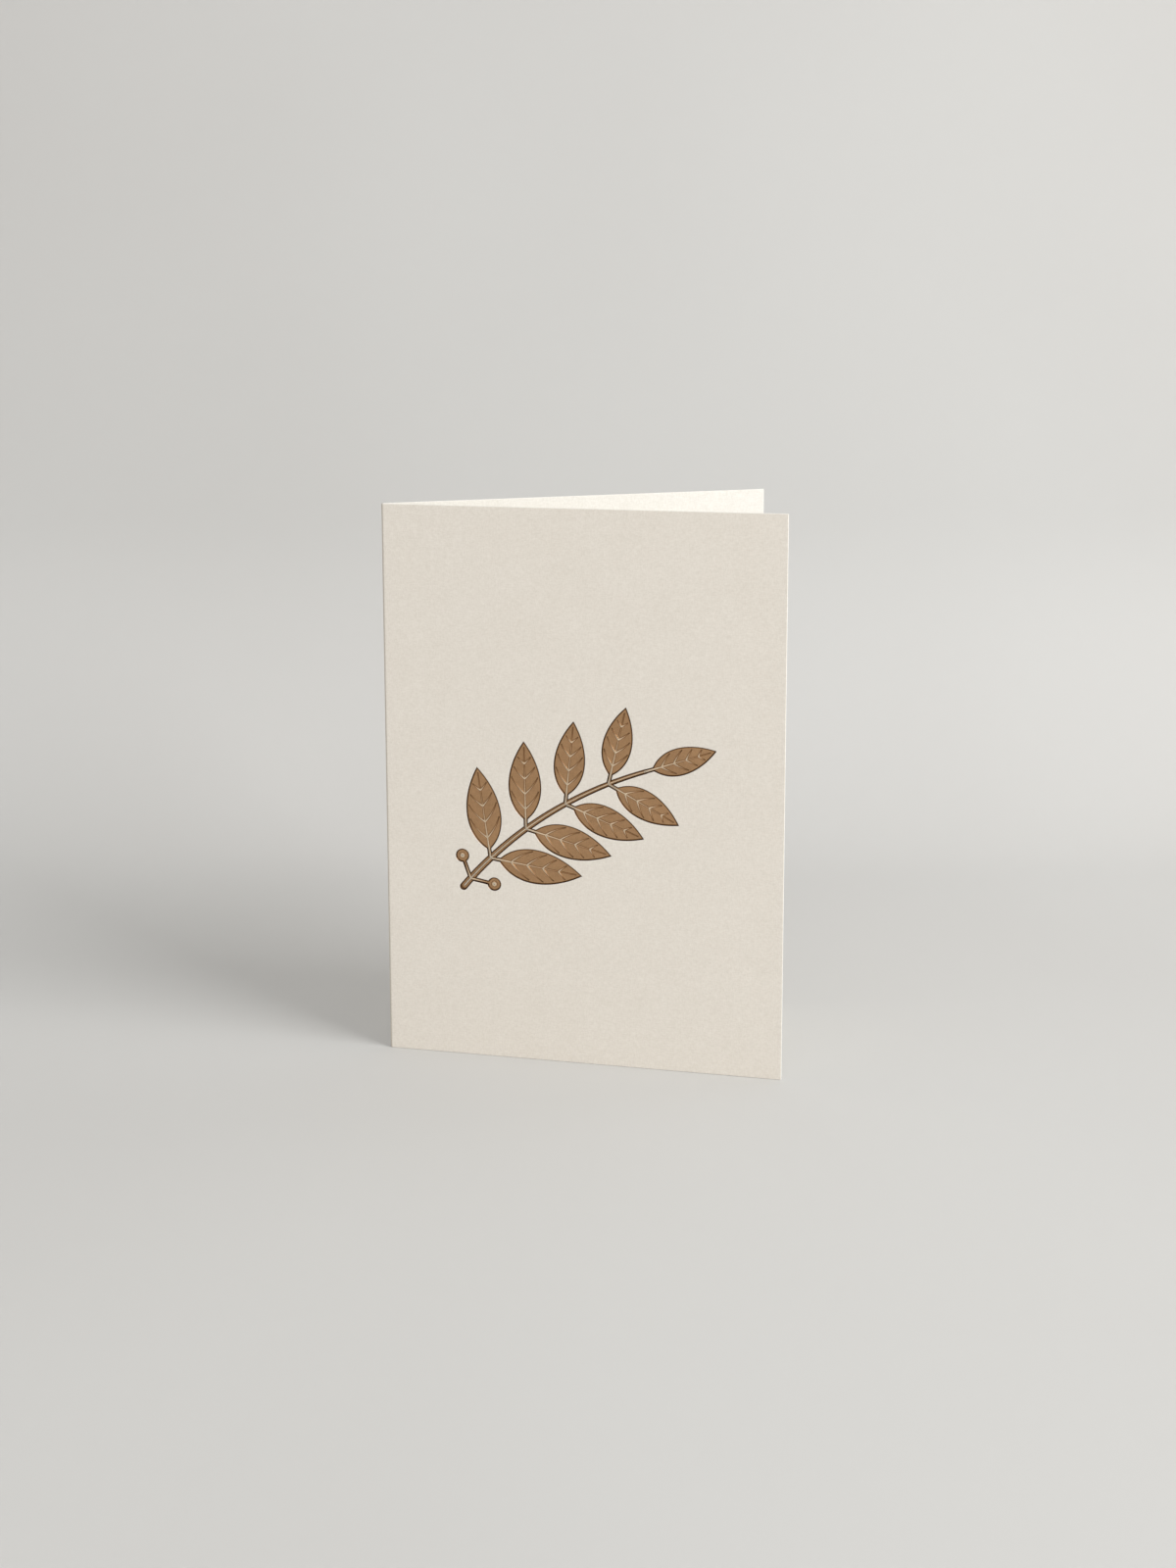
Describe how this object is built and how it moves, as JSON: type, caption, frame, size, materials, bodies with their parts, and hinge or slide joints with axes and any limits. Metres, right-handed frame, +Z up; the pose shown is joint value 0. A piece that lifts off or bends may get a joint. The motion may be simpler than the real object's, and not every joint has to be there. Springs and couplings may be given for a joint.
{
  "type": "greeting card",
  "caption": "Upright greeting card, folded once and standing open as a narrow V, with a foil spray of leaves pressed into its front panel.",
  "frame": {"origin": "on the surface that the card stands on, under the middle of its bounding box", "axes": "+Z up; +X from the fold towards the open mouth, halfway between the panels; the front panel is on the -Y side"},
  "size_m": [0.1024, 0.0472, 0.148],
  "materials": {
    "card_stock": "matte",
    "bronze_foil": "satin"
  },
  "bodies": {
    "root": {"folded_card": "card_stock", "foil_stamp": "bronze_foil"}
  },
  "joints": []
}
